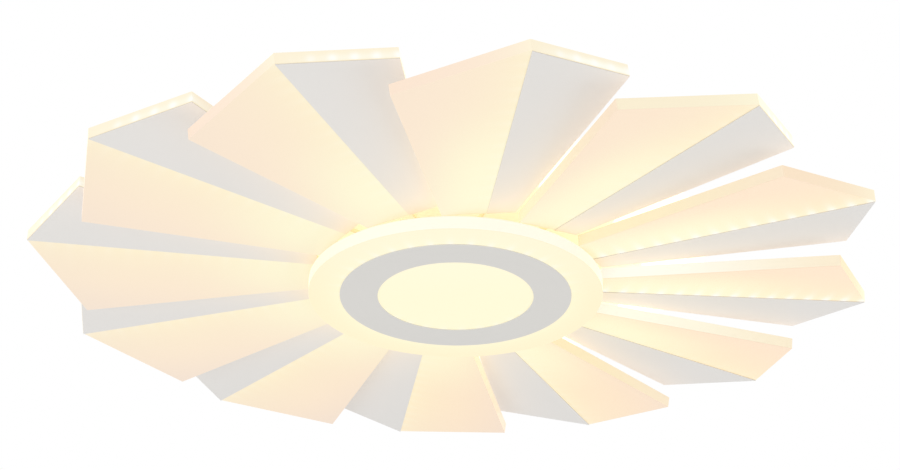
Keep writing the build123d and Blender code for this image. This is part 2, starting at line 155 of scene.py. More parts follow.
# %% A tree of nodes
class Tree:
    """The nodes of a material or a world."""

    def __init__(self, owner):
        owner.use_nodes = True
        self.nodes = owner.node_tree.nodes
        self.links = owner.node_tree.links

    def put(self, socket, value):
        """Links a value to a socket, or writes a constant into it."""
        if isinstance(value, Value):
            self.links.new(value.socket, socket)
        elif socket.type == "RGBA":
            socket.default_value = (*value, 1)
        else:
            socket.default_value = value

    def node(self, kind, settings, sockets, output=0):
        """Adds one node: its settings first, then its sockets. Gives back one of its outputs."""
        node = self.nodes.new(kind)
        for name, setting in settings.items():
            setattr(node, name, setting)
        pairs = sockets.items() if isinstance(sockets, dict) else enumerate(sockets)
        for name, value in pairs:
            self.put(node.inputs[name], value)
        return Value(self, node.outputs[output])

    def math(self, operation, *values):
        return self.node("ShaderNodeMath", {"operation": operation}, values)

    def mix(self, share, first, second):
        """The first colour where share is 0, the second where it is 1."""
        # This node mixes numbers and vectors too: its colours go in at 6 and 7 and come out at 2.
        return self.node("ShaderNodeMix", {"data_type": "RGBA"}, {0: share, 6: first, 7: second}, 2)


# %% A finish
class Finish(Tree):
    """A material made step by step around its own shader."""

    def __init__(self, name, **sockets):
        self.material = bpy.data.materials.new(name)
        super().__init__(self.material)
        self.shader = self.nodes["Principled BSDF"]
        self.set(**sockets)

    def set(self, **sockets):
        """Feeds the shader's own sockets: base_color stands for the one called Base Color."""
        for name, value in sockets.items():
            title = name.replace("_", " ").title().replace("Ior", "IOR")
            self.put(self.shader.inputs[title], value)
        return self

    def place(self):
        """A surface point in the lamp's own coordinates."""
        return self.node("ShaderNodeTexCoord", {}, [], "Object")

    def in_lamp(self):
        """How far to the right, to the back and up a surface point lies in the lamp."""
        place = self.place()
        return [place.along(direction) for direction in ((1, 0, 0), (0, 1, 0), (0, 0, 1))]

    def noise(self, scale, detail=2.0):
        sockets = {"Vector": self.place(), "Scale": scale, "Detail": detail}
        return self.node("ShaderNodeTexNoise", {}, sockets)

    def bump(self, height, depth, strength):
        """Roughens the surface by a height that is depth metres deep."""
        sockets = {"Strength": strength, "Distance": depth, "Height": height}
        return self.set(normal=self.node("ShaderNodeBump", {}, sockets))


print("a finish knows", [name for name in vars(Finish) if not name.startswith("_")])

# %% [markdown]
# ## The studio
# The studio is white and even. The world shows as plain white wherever the camera or a mirror
# looks, and lights the lamp with a slightly dimmer grey. Three large soft lamps below and beside
# the light give its plates a gentle slope of tone. The floor lies far below and keeps the lamp's
# soft shadow.

# %% World
ambient_level = 0.86
white = (1, 1, 1)

world = bpy.data.worlds.new("studio")
bpy.context.scene.world = world
studio = Tree(world)
background = studio.nodes["Background"]
studio.put(background.inputs["Color"], white)
studio.put(background.inputs["Strength"], 1)
seen = Value(studio, background.outputs[0])
lighting = studio.node("ShaderNodeBackground", {}, {"Color": white, "Strength": ambient_level})
ray_kinds = ("Is Camera Ray", "Is Glossy Ray", "Is Transmission Ray")
rays = [studio.node("ShaderNodeLightPath", {}, [], kind) for kind in ray_kinds]
any_ray = rays[0].apply("MAXIMUM", rays[1]).apply("MAXIMUM", rays[2])
shown_world = studio.node("ShaderNodeMixShader", {}, [any_ray, lighting, seen])
studio.put(studio.nodes["World Output"].inputs["Surface"], shown_world)
print("world", ambient_level)

# %% Soft lamps
lamp_middle = Vector((0, 0, -0.05))


def soft_lamp(name, place, size, power):
    """A large square lamp that faces the light's middle."""
    data = bpy.data.lights.new(name, "AREA")
    data.size = size
    data.energy = power
    lamp = bpy.data.objects.new(name, data)
    lamp.location = place
    lamp.rotation_euler = (lamp_middle - lamp.location).to_track_quat("-Z", "Y").to_euler()
    lamp.visible_camera = False
    bpy.context.scene.collection.objects.link(lamp)
    print(name, power)


soft_lamp("front_lamp", (-2.0, -3.0, -2.6), size=2.5, power=45)
soft_lamp("side_lamp", (3.2, 0.6, -2.0), size=2.5, power=22)
soft_lamp("top_lamp", (-1.5, 2.0, 3.5), size=3.0, power=25)

# %% Floor
floor_level = -6.0
floor_half = 40.0
floor_whitening = 0.7
square_signs = ((-1, -1), (1, -1), (1, 1), (-1, 1))

floor_mesh = bpy.data.meshes.new("floor")
floor_corners = [(x * floor_half, y * floor_half, floor_level) for x, y in square_signs]
floor_mesh.from_pydata(floor_corners, [], [(0, 1, 2, 3)])
floor = bpy.data.objects.new("floor", floor_mesh)
bpy.context.scene.collection.objects.link(floor)

floor_finish = Finish("pale_floor", base_color=(0.86, 0.86, 0.855), roughness=0.9)
painted = Value(floor_finish, floor_finish.shader.outputs[0])
plain_white = floor_finish.node("ShaderNodeEmission", {}, {"Color": white, "Strength": 1})
white_share = floor_finish.node("ShaderNodeLightPath", {}, [], "Is Camera Ray") * floor_whitening
shown_floor = floor_finish.node("ShaderNodeMixShader", {}, [white_share, painted, plain_white])
floor_finish.put(floor_finish.nodes["Material Output"].inputs["Surface"], shown_floor)
floor_mesh.materials.append(floor_finish.material)
print("floor at", floor_level)

# %% [markdown]
# ## Putting a finish on a solid part
# A part from the frame brings a plain material in its slots. Its shape stays, and its slots get
# the finish. Sawn and pressed edges are never perfectly sharp, and a narrow rounding along them
# catches the light. It comes from three modifiers: one joins the corners that the mesh has in
# duplicate, the next rounds each sharp edge, and the last keeps the large faces flat beside it.

# %% Dress a node
same_place = 1e-6
sharp_turn = radians(40)


def round_edges(part, width):
    """Rounds each edge at which the surface turns sharply."""
    rounded = part.modifiers.new("rounded_edges", "BEVEL")
    rounded.width = width
    rounded.segments = 2
    rounded.limit_method = "ANGLE"
    rounded.angle_limit = sharp_turn


def dress(node_name, finish, edge=0.0):
    """Gives a part its finish and, where edge is set, rounds its sharp edges by that much."""
    part = nodes[node_name]
    if not part.data.materials:
        part.data.materials.append(finish.material)
    for index in range(len(part.data.materials)):
        part.data.materials[index] = finish.material
    if edge:
        joined = part.modifiers.new("joined_corners", "WELD")
        joined.merge_threshold = same_place
        round_edges(part, edge)
        even = part.modifiers.new("even_faces", "WEIGHTED_NORMAL")
        even.keep_sharp = True
        even.weight = 100


print("parts to dress", len(nodes))

# %% [markdown]
# ## Milky acrylic, lit from inside
# Each blade is a tray of milky acrylic. A light strip runs behind the painted plate's border and
# along its two outer walls, so the bare half glows most next to the border and by the disc, and
# cools towards the far corner. The strip has a light every 16.67 mm, and each shows as a soft
# spot. Light inside thick acrylic could be traced, but that is slow and noisy. Here the glow is
# worked out from a point's place in its own blade, and shown as the surface's own light.

# %% A blade's own directions
def blade_frame(number):
    """Where a blade's centre line starts, and its outward, high-side and upward directions."""
    mesh = nodes[f"blade_{number:02}_cover"].data
    largest = max(mesh.polygons, key=lambda polygon: polygon.area)
    upward = largest.normal.copy()
    if upward.z < 0:
        upward.negate()
    corners = [vertex.co for vertex in mesh.vertices]
    tip = max(corners, key=lambda corner: (round(corner.xy.length, 5), corner.z))
    centre = Vector((0, 0, tip.dot(upward) / upward.z))
    outward = (tip - centre).normalized()
    return centre, outward, upward.cross(outward), upward


def in_blade(finish, number):
    """How far out, to the high side and up a surface point lies in its blade."""
    centre, *directions = blade_frame(number)
    place = finish.place()
    return [place.along(direction) - centre.dot(direction) for direction in directions]


for number in (1, 4):
    centre, _, _, upward = blade_frame(number)
    print("blade", number, "starts at", round(centre.z, 4), "leans", [round(x, 3) for x in upward])

# %% What all glows share
root_reach = 123 * millimetre
tip_reach = 370 * millimetre
light_pitch = 16.67 * millimetre
spot_glow = (0.66, 0.66, 0.62)
acrylic_base = (0.36, 0.355, 0.34)
warming = (0.0, -0.045, -0.08)


def spots(line, offset=0.0, sharpness=2):
    """One at each light of the strip, and zero between."""
    wave = ((line - offset) * (tau / light_pitch)).apply("COSINE")
    return (wave * 0.5 + 0.5) ** sharpness


def past(value):
    """The value where it is above zero, and zero elsewhere."""
    return value.apply("MAXIMUM", 0)


def toward(number, peak):
    """From 1 for the blade at the peak to -1 for the blade across from it."""
    return cos((number - peak) * tau / blade_count)


def shifted(colour, change, share=1.0):
    """A colour with a share of a change added to its red, green and blue."""
    return tuple(channel + share * step for channel, step in zip(colour, change))


def warmer(colour, share):
    """A glow with less green and blue."""
    return shifted(colour, warming, share)


def with_grain(finish, glow):
    """Gives acrylic its glow and the very fine grain of its satin face."""
    grain = finish.noise(2400, 1.0)
    finish.set(base_color=acrylic_base, specular_ior_level=0.25)
    finish.set(emission_color=glow, emission_strength=1.0)
    finish.set(roughness=grain * 0.10 + 0.24)
    finish.bump(grain, 0.04 * millimetre, 0.3)


print("lights along a blade", round((tip_reach - root_reach) / light_pitch, 1))

# %% [markdown]
# The bare face gets its glow in layers. The first runs from the border outward, the next is a
# painted shade that darkens the far corner, then comes the pool of light by the hub, and last the
# line of spots beside the border. The blades differ a little, as they do when each catches its
# neighbours' light: the layers' shares follow the blade's number round the lamp, and two blades
# show their spots plainly.

# %% The lit face of a blade
border_root_side = 7 * millimetre
border_slope = border_root_side / (tip_reach - root_reach)
border_reach = 40 * millimetre
border_line_reach = 12 * millimetre
border_spot_reach = 8 * millimetre
pool_reach = 290 * millimetre
pool_extra = 50 * millimetre
pool_fade = 130 * millimetre
pool_start = (0.115, 0.165)
pool_sides = (0.012, 0.080)
outer_zone = (0.27, 0.38)
corner_shade_zone = (0.045, 0.135)
longest_pool_blade = 3
most_shaded_blade = 8.3
border_spots = {3: 0.95, 4: 1.0}
faint_spots = 0.12
far_glow = (0.597, 0.440, 0.303)
corner_shade_glow = (0.515, 0.395, 0.31)
near_glow = (0.622, 0.515, 0.286)
pool_glow = (0.63, 0.59, 0.345)
border_glow = (0.66, 0.61, 0.41)


def lit_face(finish, number, u, v, warmth):
    """The glow of a blade's bare half, in layers."""
    bare_side = past((tip_reach - u) * border_slope - v)
    near = bare_side.falloff(border_reach)
    glow = finish.mix(near, warmer(far_glow, warmth), warmer(near_glow, warmth))

    # Painted shade: the far corner of the bare face is darkened, more on some blades round the lamp
    # than on others.
    corner_shade_mask = bare_side.between(*corner_shade_zone) + u.between(*outer_zone) * 0.3
    corner_shade_share = 0.5 + 0.5 * toward(number, most_shaded_blade)
    corner_shade_amount = corner_shade_mask.apply("MINIMUM", 1) * corner_shade_share
    glow = finish.mix(corner_shade_amount, glow, warmer(corner_shade_glow, 0.6 * warmth))

    pool_end = pool_reach + pool_extra * toward(number, longest_pool_blade)
    pool = (u.between(*pool_start) * 0.4 + 0.6) * (1 - u.between(pool_end - pool_fade, pool_end))
    pool = pool * (1 - bare_side.between(*pool_sides))
    glow = finish.mix(pool, glow, warmer(pool_glow, 0.6 * warmth))

    spot_share = border_spots.get(number, faint_spots)
    beside_border = bare_side.falloff(border_line_reach) * (0.1 + 0.4 * spot_share)
    glow = finish.mix(beside_border, glow, border_glow)
    shown_spots = spots(u) * bare_side.falloff(border_spot_reach) * spot_share
    return finish.mix(shown_spots, glow, spot_glow)


print("border slope", round(border_slope, 4))

# %% [markdown]
# The walls glow by themselves too. They are brightest by the hub, and again along the outer wall
# at the high side, where the strip runs close behind: a soft band at the strip's height, with a
# row of spots in it. Walls that face the next blade's bright half take some of its light.

# %% The lit walls of a blade
high_corner = Vector((328, 84)) * millimetre
along_rim = (high_corner - Vector((tip_reach, 0))).normalized()
low_corner_reach = 316 * millimetre
rim_reach = 30 * millimetre
rim_spot_reach = 2 * millimetre
first_rim_spot = 10 * millimetre
spot_level = 3.4 * millimetre
spot_height = 3.6 * millimetre
far_zone = (0.02, 0.22)
tip_zone = (-0.08, 0.01)
band_zone = (0.0, 0.055)
rim_spot_zone = (0.006, 0.045)
facing_blade = 4.7
facing_gain = (0.04, 0.13, 0.11)
far_wall_glow = (0.58, 0.425, 0.29)
hub_wall_glow = (0.63, 0.545, 0.305)
bright_hub_walls = {4: (0.66, 0.66, 0.57), 5: (0.66, 0.655, 0.52)}
low_rim_glow = (0.605, 0.432, 0.300)
low_rim_changes = {2: (0.0, 0.08, 0.02), 3: (0.0, 0.0, -0.05), 4: (0.0, -0.03, -0.16)}
rim_glow = (0.65, 0.62, 0.40)
band_glow = (0.66, 0.66, 0.56)
band_shares = {1: 0.95, 12: 0.5}
usual_band = 0.38


def lit_walls(finish, number, u, v, w, warmth):
    """The glow of a blade's walls, in layers."""
    hub_wall = bright_hub_walls.get(number, warmer(hub_wall_glow, warmth))
    facing = max(0, toward(number, facing_blade)) ** 1.5
    far_wall = shifted(warmer(far_wall_glow, warmth), facing_gain, facing)
    glow = finish.mix((u - root_reach).between(*far_zone), hub_wall, far_wall)

    low_rim = shifted(low_rim_glow, low_rim_changes.get(number, (0.0, 0.0, 0.0)))
    past_corner = u.between(low_corner_reach - millimetre, low_corner_reach + millimetre)
    glow = finish.mix(past_corner, glow, low_rim)

    from_tip = (u - tip_reach) * along_rim.x + v * along_rim.y
    inside_rim = ((u - tip_reach) * -along_rim.y + v * along_rim.x).apply("ABSOLUTE")
    near_rim = inside_rim.falloff(rim_reach)
    glow = finish.mix(from_tip.between(*tip_zone) * near_rim * 0.6, glow, rim_glow)

    at_strip = (((w - spot_level) / spot_height) ** 2).falloff(1.0)
    band = from_tip.between(*band_zone) * at_strip * near_rim
    glow = finish.mix(band * band_shares.get(number, usual_band), glow, band_glow)
    rim_spots = spots(from_tip, first_rim_spot) * at_strip * inside_rim.falloff(rim_spot_reach)
    return finish.mix(rim_spots * from_tip.between(*rim_spot_zone), glow, spot_glow)


print("outer wall runs along", [round(x, 3) for x in along_rim])

# %% Dress the blade shells
face_level = 0.8 * millimetre
shell_edge = 0.5 * millimetre
warmest_blade = 5


def blade_acrylic(number):
    """The acrylic of one blade, with the glow of its own light strip."""
    finish = Finish(f"milky_acrylic_{number:02}")
    u, v, w = in_blade(finish, number)
    warmth = max(0, 0.25 + 0.75 * toward(number, warmest_blade))
    face = lit_face(finish, number, u, v, warmth)
    walls = lit_walls(finish, number, u, v, w, warmth)
    on_wall = (w - face_level).between(0.1 * millimetre, 0.7 * millimetre)
    with_grain(finish, finish.mix(on_wall, face, walls))
    return finish


for number in blade_numbers:
    dress(f"blade_{number:02}_shell", blade_acrylic(number), edge=shell_edge)
print("lit shells", blade_count)

# %% [markdown]
# ## The disc's acrylic
# The disc is made like the blades, but its two light strips are wound round a spacer under the
# painted ring, one outside and one inside. So its glow depends on the distance from the lamp's
# axis. The lights show as a faint row of spots along the ring's outer edge at the front, and
# along its inner edge at the back, because those are the strips that face the eye.

# %% The glow of the disc
ring_outer = 100.5 * millimetre
ring_inner = 67.7 * millimetre
disc_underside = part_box("disc_shell")[0].z
front_zone = (-0.13, 0.02)
flank_zone = (-0.11, -0.02)
back_zone = (0.0, 0.06)
disc_rim_reach = 14 * millimetre
outer_spot_reach = 5 * millimetre
inner_spot_reach = 3 * millimetre
first_disc_spot = 4 * millimetre
disc_rim_glow = (0.635, 0.535, 0.28)
disc_ring_glow = (0.655, 0.595, 0.335)
disc_middle_glow = (0.655, 0.60, 0.35)
disc_front_glow = (0.66, 0.62, 0.44)
disc_wall_glow = (0.66, 0.64, 0.54)
disc_flank_glow = (0.655, 0.60, 0.44)


def from_axis(across, deep):
    """How far a point lies from the lamp's upright axis."""
    return (across * across + deep * deep).apply("SQRT")


disc_acrylic = Finish("milky_acrylic_disc")
across, deep, level = disc_acrylic.in_lamp()
off_axis = from_axis(across, deep)
turn = deep.apply("ARCTAN2", across)
front = 1 - deep.between(*front_zone)
near_ring = past(off_axis - ring_outer).falloff(disc_rim_reach)
glow = disc_acrylic.mix(near_ring, disc_rim_glow, disc_ring_glow)
middle = (ring_outer - off_axis).between(0, 10 * millimetre)
glow = disc_acrylic.mix(middle, glow, disc_middle_glow)
# Painted light: the front of the disc's face glows brighter than its back.
glow = disc_acrylic.mix(front * 0.45, glow, disc_front_glow)

near_outer = (off_axis - ring_outer).apply("ABSOLUTE").falloff(outer_spot_reach)
near_inner = (off_axis - ring_inner).apply("ABSOLUTE").falloff(inner_spot_reach)
ring_spots = spots(turn * ring_outer, first_disc_spot, 3)
outer_spots = ring_spots * near_outer * (front * 0.65 + 0.05)
inner_spots = spots(turn * ring_inner) * near_inner * deep.between(*back_zone) * 0.45
glow = disc_acrylic.mix(outer_spots + inner_spots, glow, spot_glow)

# Painted light: the disc's wall glows brighter at the front than at its flanks and back.
wall = disc_acrylic.mix(deep.between(*flank_zone), disc_wall_glow, disc_flank_glow)
on_wall = (level - disc_underside).between(0.2 * millimetre, 0.8 * millimetre)
with_grain(disc_acrylic, disc_acrylic.mix(on_wall, glow, wall))
dress("disc_shell", disc_acrylic, edge=shell_edge)
print("disc underside at", round(disc_underside, 4))

# %% [markdown]
# ## Painted steel
# The plates over the blades and the ring are sheet steel with a satin powder coat. Powder coat
# melts into a skin with a very fine unevenness, like orange peel, so a weak bump of about a
# millimetre's grain goes under a satin shine. The pan, the plate above the blades and the trays
# have a plainer white coat.

# %% Powder coat
sheet_edge = 0.25 * millimetre
plate_edge = 0.15 * millimetre


def powder_coat(name, colour, shine, peel=700):
    """A satin coat of paint with the fine unevenness that powder has after baking."""
    finish = Finish(name, specular_ior_level=0.4)
    wide = finish.noise(9)
    fine = finish.noise(peel)
    finish.coat = finish.mix(wide, [channel * 0.97 for channel in colour], colour)
    finish.set(base_color=finish.coat, roughness=fine * 0.12 + shine)
    return finish.bump(fine, 0.05 * millimetre, 0.25)


def plain_coat(name):
    """The white coat of the sheets that hardly show."""
    return powder_coat(name, (0.84, 0.835, 0.815), 0.42, 500)


white_coat = plain_coat("white_coat")
for number in blade_numbers:
    dress(f"blade_{number:02}_tray", white_coat, edge=sheet_edge)
dress("disc_base", white_coat, edge=sheet_edge)
dress("ceiling_pan", white_coat, edge=sheet_edge)
dress("disc_ring", powder_coat("ring_coat", (0.72, 0.704, 0.674), 0.40), edge=plate_edge)
print("white trays", blade_count)

# %% [markdown]
# The plates over the blades stand next to a glowing wall of the neighbour, and their inner ends
# lie close to the bright hub. Their white warms up there. A traced light would need many samples
# for such a thin gap, so the warm light that the plate catches is painted into its coat: more of it
# near the hub, and a wide seam of it along the high edge. The plate's own thin edge has none and
# gets a painted shade, a little darker, which draws the fine line that borders each plate.

# %% Cover plates
root_high_side = 32 * millimetre
high_edge_slope = (high_corner.y - root_high_side) / (high_corner.x - root_reach)
caught_reach = 42 * millimetre
caught_extra = 15 * millimetre
most_caught_blade = 3
seam_reach = 20 * millimetre
seam_fade = 100 * millimetre
edge_start = (0.00015, 0.0003)
edge_end = (0.0009, 0.0010)
cover_white = (0.795, 0.775, 0.752)
cover_warm = (0.72, 0.62, 0.50)
caught_light = (0.285, 0.247, 0.15)
seam_white = (0.80, 0.74, 0.66)
seam_light = (0.42, 0.29, 0.20)
shaded_edge = (0.67, 0.62, 0.575)
unlit = (0, 0, 0)


def cover_coat(number):
    """The satin coat of one blade's plate, with the light that it catches and its shaded edge."""
    finish = powder_coat(f"cover_coat_{number:02}", cover_white, 0.38)
    u, v, w = in_blade(finish, number)
    from_hub = past(u - root_reach)
    from_high_edge = past((u - root_reach) * high_edge_slope + root_high_side - v)
    caught = from_hub.falloff(caught_reach + caught_extra * toward(number, most_caught_blade))
    seam = from_high_edge.falloff(seam_reach) * (from_hub.falloff(seam_fade) * 0.15 + 0.42)
    # Painted shade: the plate's thin edge gets a darker colour and no glow.
    on_edge = w.between(*edge_start) * (1 - w.between(*edge_end))
    coat = finish.mix(seam, finish.mix(caught, finish.coat, cover_warm), seam_white)
    glow = finish.mix(seam, finish.mix(caught, unlit, caught_light), seam_light)
    finish.set(base_color=finish.mix(on_edge, coat, shaded_edge))
    finish.set(emission_color=finish.mix(on_edge, glow, unlit), emission_strength=1.0)
    return finish


for number in blade_numbers:
    dress(f"blade_{number:02}_cover", cover_coat(number), edge=plate_edge)
print("cover plates", blade_count)

# %% [markdown]
# The round plate above the blades is seen only through the gaps between them. Its white underside
# is flooded with the warm light that leaves the blades backward, and it is what makes the gaps
# golden and not dark. So its underside and its edge carry that light and its upper side has none.
# The brackets, posts and leads that hang below it are lit in the same way.

# %% Flooded with light
chassis_low, chassis_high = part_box("chassis_plate")
rim_outside = chassis_high.x - 0.9 * millimetre
rim_top = 8.8 * millimetre
hub_zone = (0.035, 0.075)
outer_gap_zone = (0.13, 0.19)
gap_glow = (0.62, 0.45, 0.265)
outer_gap_glow = (0.64, 0.57, 0.44)


def flooded_coat(name):
    """White coat that carries warm light below the plate's underside and round its edge."""
    finish = plain_coat(name)
    across, deep, high = finish.in_lamp()
    off_axis = from_axis(across, deep)
    level = high - chassis_low.z
    underside = 1 - level.between(0.1 * millimetre, 0.8 * millimetre)
    on_rim = off_axis.between(rim_outside, rim_outside + 0.3 * millimetre)
    below_top = 1 - level.between(rim_top, rim_top + 0.2 * millimetre)
    reached = (underside + on_rim * below_top).apply("MINIMUM", 1) * off_axis.between(*hub_zone)
    glow = finish.mix(off_axis.between(*outer_gap_zone), gap_glow, outer_gap_glow)
    return finish.set(emission_color=finish.mix(reached, unlit, glow), emission_strength=1.0)


dress("chassis_plate", flooded_coat("chassis_coat"), edge=sheet_edge)
dress("blade_brackets", flooded_coat("bracket_coat"), edge=0.3 * millimetre)
print("flooded underside at", round(chassis_low.z, 4))

# %% [markdown]
# ## Bare metal
# The ceiling bracket, posts and bolts are zinc plated. Zinc dries in faint clouds of lighter and
# darker grey with a bluish and yellowish tinge. The magnets are nickel plated and the closed nuts
# chromed, both bright, with fine wear in their shine. One even grey would look like paint, so
# noise varies the tone and the shine a little. The bracket goes without rounding, which would
# draw lines over its shallow bends. The posts stand in the flooded gap and take its glow.

# %% Plated metal
zinc_look = ((0.70, 0.71, 0.72), (0.60, 0.60, 0.57), 0.26)
post_glow = (0.34, 0.26, 0.13)


def plated(name, light, dark, shine, cloud=60):
    """Plating with soft clouds in its tone and its shine."""
    finish = Finish(name, metallic=1.0)
    clouds = finish.noise(cloud, 4.0)
    scratches = finish.noise(900, 3.0)
    finish.set(base_color=finish.mix(clouds.between(0.35, 0.65), dark, light))
    finish.set(roughness=clouds * 0.12 + scratches * 0.08 + shine)
    return finish.bump(scratches, 0.02 * millimetre, 0.3)


zinc = plated("zinc", *zinc_look)
lit_zinc = plated("lit_zinc", *zinc_look).set(emission_color=post_glow, emission_strength=1.0)
nickel = plated("nickel", (0.74, 0.72, 0.69), (0.66, 0.64, 0.61), 0.14)
chrome = plated("chrome", (0.82, 0.82, 0.82), (0.76, 0.76, 0.77), 0.05)
dress("ceiling_bracket", zinc)
dress("disc_posts", lit_zinc, edge=0.3 * millimetre)
dress("disc_magnets", nickel, edge=0.4 * millimetre)
print("plated parts dressed")

# %% [markdown]
# ## Plastic and rubber
# The driver's case, the terminal block, the junction hub and the spacer are moulded. Moulds are
# spark eroded, and leave a fine matt grain. The leads have a soft cream sheath, and the frame
# that guards them is black rubber. A picture of such a grain could be wrapped round each part,
# but noise in three dimensions needs no picture and shows no seam.

# %% Moulded plastic
sheath_look = ((0.78, 0.66, 0.47), 0.34, 1800, 0.03 * millimetre)
sheath_glow = (0.42, 0.31, 0.16)


def moulded(name, colour, shine, grain_size=1500, depth=0.06 * millimetre):
    """Plastic or rubber with the fine grain of its mould."""
    finish = Finish(name, specular_ior_level=0.5)
    grain = finish.noise(grain_size, 3.0)
    wide = finish.noise(14)
    finish.set(base_color=finish.mix(wide, [channel * 0.93 for channel in colour], colour))
    finish.set(roughness=grain * 0.18 + shine)
    return finish.bump(grain, depth, 0.4)


driver_plastic = moulded("driver_plastic", (0.80, 0.80, 0.79), 0.42)
terminal_plastic = moulded("terminal_plastic", (0.74, 0.745, 0.70), 0.36)
hub_plastic = moulded("hub_plastic", (0.80, 0.80, 0.76), 0.40)
rubber = moulded("black_rubber", (0.035, 0.035, 0.035), 0.62, 900, 0.1 * millimetre)
dress("led_driver", driver_plastic, edge=0.8 * millimetre)
dress("terminal_block", terminal_plastic, edge=0.3 * millimetre)
dress("junction_hub", hub_plastic, edge=0.4 * millimetre)
dress("disc_plug", hub_plastic, edge=0.4 * millimetre)
dress("disc_spacer", moulded("spacer_plastic", (0.82, 0.82, 0.79), 0.45))
dress("lead_frame", rubber, edge=0.4 * millimetre)
dress("pan_leads", moulded("cream_sheath", *sheath_look), edge=0.6 * millimetre)
print("moulded parts dressed")

# %% Leads and light strips in the glow
lit_sheath = moulded("lit_cream_sheath", *sheath_look)
length = {"operation": "LENGTH"}
from_origin = lit_sheath.node("ShaderNodeVectorMath", length, [lit_sheath.place()], "Value")
lead_glow = lit_sheath.mix(from_origin.between(0.07, 0.12), unlit, sheath_glow)
lit_sheath.set(emission_color=lead_glow, emission_strength=1.0)
dress("blade_leads", lit_sheath, edge=0.6 * millimetre)

strip_board = Finish("strip_board", base_color=(0.80, 0.78, 0.72), roughness=0.5)
strip_board.set(emission_color=(1.0, 0.88, 0.66), emission_strength=0.5)
dress("blade_light_strips", strip_board)
dress("disc_light_strips", strip_board)
print("leads and strips dressed")

# %% [markdown]
# ## Making small pieces
# Screws, nuts and sleeves are turned or pressed parts. A turned part is a profile carried round
# an axis. Here a step of the profile may also be a function of the angle, and then the same
# helper makes hexagons, chamfered by a cone as on a real nut, and even a screw thread, whose
# radius depends on angle and height together. Everything is built from points and faces.

# %% Shapes
def turned(profile, around=36, closed=False):
    """A ring of points for each step: its radius, or a function of the angle, and its height."""
    angles = [tau * i / around for i in range(around)]
    points = []
    for radius, level in profile:
        for angle in angles:
            reach = radius(angle) if callable(radius) else radius
            points.append(Vector((reach * cos(angle), reach * sin(angle), level)))
    rings = [range(start, start + around) for start in range(0, len(points), around)]
    pairs = list(zip(rings, rings[1:])) + ([(rings[-1], rings[0])] if closed else [])
    faces = [(a[i - 1], a[i], b[i], b[i - 1]) for a, b in pairs for i in range(around)]
    if not closed:
        faces += [tuple(rings[0]), tuple(reversed(rings[-1]))]
    return points, faces


def prism(outline, low, high):
    """A straight-sided block over an outline."""
    count = len(outline)
    points = [Vector((x, y, level)) for level in (low, high) for x, y in outline]
    faces = [(i - 1, i, count + i, count + i - 1) for i in range(1, count)]
    faces += [(count - 1, 0, count, 2 * count - 1)]
    faces += [tuple(range(count)), tuple(range(count, 2 * count))]
    return points, faces


def moved(shape, matrix):
    """A shape carried to another place."""
    points, faces = shape
    return [matrix @ point for point in points], faces


def gathered(shapes):
    """Several shapes as one."""
    points, faces = [], []
    for shape_points, shape_faces in shapes:
        start = len(points)
        points += shape_points
        faces += [tuple(start + index for index in face) for face in shape_faces]
    return points, faces


def at(x, y, z, turn=0.0):
    """The way to a place, after a turn about the upright axis."""
    return Matrix.Translation((x, y, z)) @ Matrix.Rotation(turn, 4, "Z")


def in_millimetres(steps):
    """A profile or an outline that is written in millimetres, as metres."""
    return [(first * millimetre, second * millimetre) for first, second in steps]


print("faces of a block", len(prism(square_signs, 0, 1)[1]))


# %% A new piece
def add_piece(name, shape, finish, body, edge=0.0):
    """Makes an object from a shape, cleans its mesh, and fixes it to a body of the lamp."""
    mesh = bpy.data.meshes.new(name)
    points, faces = shape
    mesh.from_pydata(points, [], faces)
    cleaning = bmesh.new()
    cleaning.from_mesh(mesh)
    bmesh.ops.remove_doubles(cleaning, verts=cleaning.verts, dist=same_place)
    bmesh.ops.recalc_face_normals(cleaning, faces=cleaning.faces)
    cleaning.to_mesh(mesh)
    cleaning.free()
    mesh.shade_smooth()
    mesh.set_sharp_from_angle(angle=radians(35))
    mesh.materials.append(finish.material)
    made = bpy.data.objects.new(name, mesh)
    bpy.context.scene.collection.objects.link(made)
    if edge:
        round_edges(made, edge)
    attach(made, body)
    print(name, len(mesh.vertices), "points")
    return made


# %% [markdown]
# ## Ceiling bolts and closed nuts
# Two machine screws hang from the ceiling bracket, and the lamp is drawn up on them by two closed
# nuts from below. The solid model has them with smooth shanks and plain chamfers. A thread could
# be a bump in the metal's finish, but its teeth show against the light, so the shank gets a real
# thread in its mesh, and the nuts get their domes.

# %% Bolts
hex_reach = 4.0 * millimetre
bolt_reach = 2.5 * millimetre
bolt_end_reach = 1.9 * millimetre
head_height = 3.0 * millimetre
thread_pitch = 0.8 * millimetre
thread_depth = 0.45 * millimetre
thread_step = thread_pitch / 4
cone_start = 3.75 * millimetre
cone_step = 0.12 * millimetre
cone_slope = 1.8


def six_sided(limit=1.0):
    """The radius of a hexagon at each angle, but no more than the limit."""

    def radius(angle):
        return min(hex_reach / cos((angle % (pi / 3)) - pi / 6), limit)

    return radius


def thread(level):
    """The radius of a thread at each angle, at one height."""

    def radius(angle):
        phase = (level / thread_pitch + angle / tau) % 1
        ridge = min(1, 1.25 * (1 - abs(2 * phase - 1)))
        return bolt_reach - thread_depth * (1 - ridge)

    return radius


def cone_steps(edge_level, inward):
    """Hexagon steps that a cone cuts, from the flat end inward."""
    profile = []
    for i in range(5):
        step = cone_step * i
        profile.append((six_sided(cone_start + cone_slope * step), edge_level + inward * step))
    return profile


